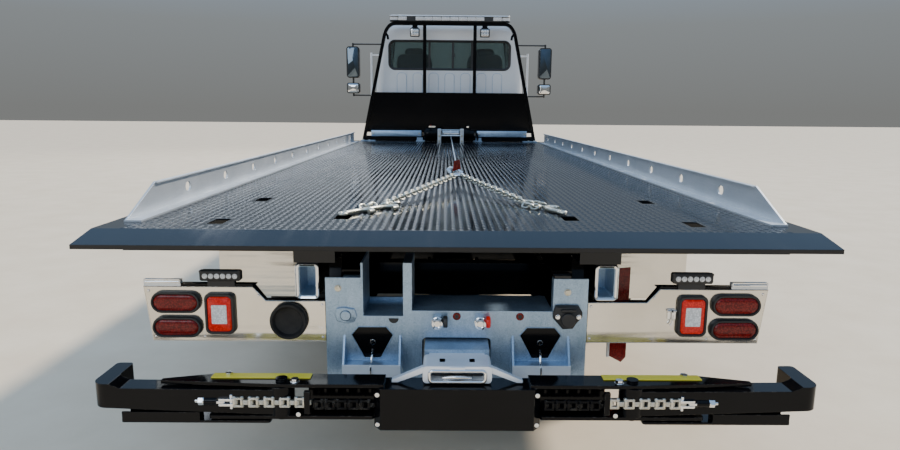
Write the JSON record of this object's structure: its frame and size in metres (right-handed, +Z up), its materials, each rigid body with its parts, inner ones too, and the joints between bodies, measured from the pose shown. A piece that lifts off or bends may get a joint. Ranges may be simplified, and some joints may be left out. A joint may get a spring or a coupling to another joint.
{
  "type": "flatbed tow truck",
  "caption": "Two-axle rollback tow truck: white conventional cab, black sliding flat bed with aluminium rails, winch and headboard, stainless lamp bars and folded wheel lift.",
  "frame": {"origin": "on the ground, under the middle of the whole truck's box", "axes": "+Y forward, +X to the truck's right, +Z up"},
  "size_m": [3.18, 9.578, 2.6549],
  "materials": {
    "white_paint": "gloss",
    "black_paint": "gloss",
    "galvanised": "galvanised",
    "stainless": "polished",
    "aluminium": "satin",
    "tyre_rubber": "matt",
    "glass": "gloss",
    "red_lens": "gloss",
    "clear_lens": "gloss",
    "chrome": "polished",
    "black_plastic": "satin",
    "yellow_paint": "gloss",
    "chain_steel": "zinc plated",
    "grey_trim": "satin"
  },
  "bodies": {
    "chassis": {"frame_rails": "black_paint", "front_axle": "black_paint", "rear_axle": "black_paint", "leaf_springs": "black_paint", "engine_block": "grey_trim", "fuel_tanks": "aluminium", "exhaust": "grey_trim", "tool_boxes": "aluminium", "bumper": "chrome", "cab_shell": "white_paint", "cab_glass": "glass", "cab_interior": "grey_trim", "mirrors": "black_plastic", "rear_plate": "galvanised", "lamp_bars": "stainless", "tail_lamps": "red_lens", "rear_fittings": "black_plastic", "wheel_guards": "stainless"},
    "hood": {"hood": "white_paint", "grille": "chrome", "headlamps": "clear_lens"},
    "tilt_frame": {"tilt_frame": "black_paint"},
    "bed": {"bed_deck": "black_paint", "side_rails": "aluminium", "headboard": "black_paint", "light_bar": "black_plastic", "winch": "black_paint", "bridle": "chain_steel", "tow_cable": "chain_steel"},
    "lift_barrels": {"lift_barrels": "black_paint"},
    "lift_rods": {"lift_rods": "chrome"},
    "lift_boom": {"lift_boom": "galvanised"},
    "stinger": {"stinger": "galvanised"},
    "crossbar": {"crossbar": "black_paint"},
    "tie_rod": {"tie_rod": "black_paint"},
    "door_right": {"door_right": "white_paint", "door_glass_right": "glass"},
    "box_door_right": {"box_door_right": "aluminium"},
    "claw_right": {"claw_right": "black_paint"},
    "knuckle_right": {"knuckle_right": "black_paint"},
    "front_wheel_right": {"front_rim_right": "aluminium", "front_tyre_right": "tyre_rubber"},
    "rear_wheel_right": {"rear_rim_right": "aluminium", "rear_tyre_right": "tyre_rubber"},
    "door_left": {"door_left": "white_paint", "door_glass_left": "glass"},
    "box_door_left": {"box_door_left": "aluminium"},
    "claw_left": {"claw_left": "black_paint"},
    "knuckle_left": {"knuckle_left": "black_paint"},
    "front_wheel_left": {"front_rim_left": "aluminium", "front_tyre_left": "tyre_rubber"},
    "rear_wheel_left": {"rear_rim_left": "aluminium", "rear_tyre_left": "tyre_rubber"}
  },
  "joints": [
    {"name": "bed_tilt", "type": "hinge", "parent": "chassis", "child": "tilt_frame", "pos_m": [0, -4.479, 0.64], "axis": [1, 0, 0], "range_deg": [0, 15.5]},
    {"name": "bed_slide", "type": "slide", "parent": "tilt_frame", "child": "bed", "axis": [0, -1, 0], "range_m": [0, 3.36]},
    {"name": "lift_barrel_swing", "type": "hinge", "parent": "chassis", "child": "lift_barrels", "pos_m": [0, -1.729, 0.58], "axis": [1, 0, 0], "range_deg": [-1, 45]},
    {"name": "lift_rod_stroke", "type": "slide", "parent": "lift_barrels", "child": "lift_rods", "axis": [0, 0.9762, 0.2169], "range_m": [-0.01, 0.5]},
    {"name": "wheel_lift_fold", "type": "hinge", "parent": "chassis", "child": "lift_boom", "pos_m": [0, -3.379, 0.56], "axis": [-1, 0, 0], "range_deg": [-11, 0]},
    {"name": "stinger_reach", "type": "slide", "parent": "lift_boom", "child": "stinger", "axis": [0, 1, 0], "range_m": [-0.9, 0]},
    {"name": "crossbar_swivel", "type": "hinge", "parent": "stinger", "child": "crossbar", "pos_m": [0, -4.724, 0.447], "axis": [0, 0, 1], "range_deg": [-12, 12]},
    {"name": "hood_tilt", "type": "hinge", "parent": "chassis", "child": "hood", "pos_m": [0, 4.741, 0.765], "axis": [-1, 0, 0], "range_deg": [0, 60]},
    {"name": "tie_rod_swing", "type": "hinge", "parent": "knuckle_left", "child": "tie_rod", "pos_m": [-0.85, 3.519, 0.379], "axis": [0, 0, 1], "range_deg": [-38, 38]},
    {"name": "door_right_hinge", "type": "hinge", "parent": "chassis", "child": "door_right", "pos_m": [1.024, 3.259, 1.7], "axis": [0, 0, 1], "range_deg": [0, 70]},
    {"name": "box_door_right_hinge", "type": "hinge", "parent": "chassis", "child": "box_door_right", "pos_m": [1.211, -0.629, 0.44], "axis": [0, 1, 0], "range_deg": [0, 90]},
    {"name": "claw_right_swing", "type": "hinge", "parent": "crossbar", "child": "claw_right", "pos_m": [0.605, -4.741, 0.469], "axis": [0, 0, 1], "range_deg": [-90, 0]},
    {"name": "steer_right", "type": "hinge", "parent": "chassis", "child": "knuckle_right", "pos_m": [0.85, 3.699, 0.455], "axis": [0, 0, 1], "range_deg": [-38, 38]},
    {"name": "front_wheel_right_spin", "type": "hinge", "parent": "knuckle_right", "child": "front_wheel_right", "pos_m": [1.02, 3.699, 0.455], "axis": [1, 0, 0], "continuous": true},
    {"name": "rear_wheel_right_spin", "type": "hinge", "parent": "chassis", "child": "rear_wheel_right", "pos_m": [0.93, -2.295, 0.455], "axis": [1, 0, 0], "continuous": true},
    {"name": "door_left_hinge", "type": "hinge", "parent": "chassis", "child": "door_left", "pos_m": [-1.024, 3.259, 1.7], "axis": [0, 0, -1], "range_deg": [0, 70]},
    {"name": "box_door_left_hinge", "type": "hinge", "parent": "chassis", "child": "box_door_left", "pos_m": [-1.211, -0.629, 0.44], "axis": [0, -1, 0], "range_deg": [0, 90]},
    {"name": "claw_left_swing", "type": "hinge", "parent": "crossbar", "child": "claw_left", "pos_m": [-0.605, -4.741, 0.469], "axis": [0, 0, -1], "range_deg": [-90, 0]},
    {"name": "steer_left", "type": "hinge", "parent": "chassis", "child": "knuckle_left", "pos_m": [-0.85, 3.699, 0.455], "axis": [0, 0, 1], "range_deg": [-38, 38]},
    {"name": "front_wheel_left_spin", "type": "hinge", "parent": "knuckle_left", "child": "front_wheel_left", "pos_m": [-1.02, 3.699, 0.455], "axis": [1, 0, 0], "continuous": true},
    {"name": "rear_wheel_left_spin", "type": "hinge", "parent": "chassis", "child": "rear_wheel_left", "pos_m": [-0.93, -2.295, 0.455], "axis": [1, 0, 0], "continuous": true}
  ],
  "couplings": [
    {"joint": "lift_barrel_swing", "follows": "bed_tilt", "ratio": 2.53},
    {"joint": "lift_rod_stroke", "follows": "bed_tilt", "m_per_rad": 1.37},
    {"joint": "steer_right", "follows": "steer_left", "ratio": 1},
    {"joint": "tie_rod_swing", "follows": "steer_left", "ratio": -1}
  ]
}
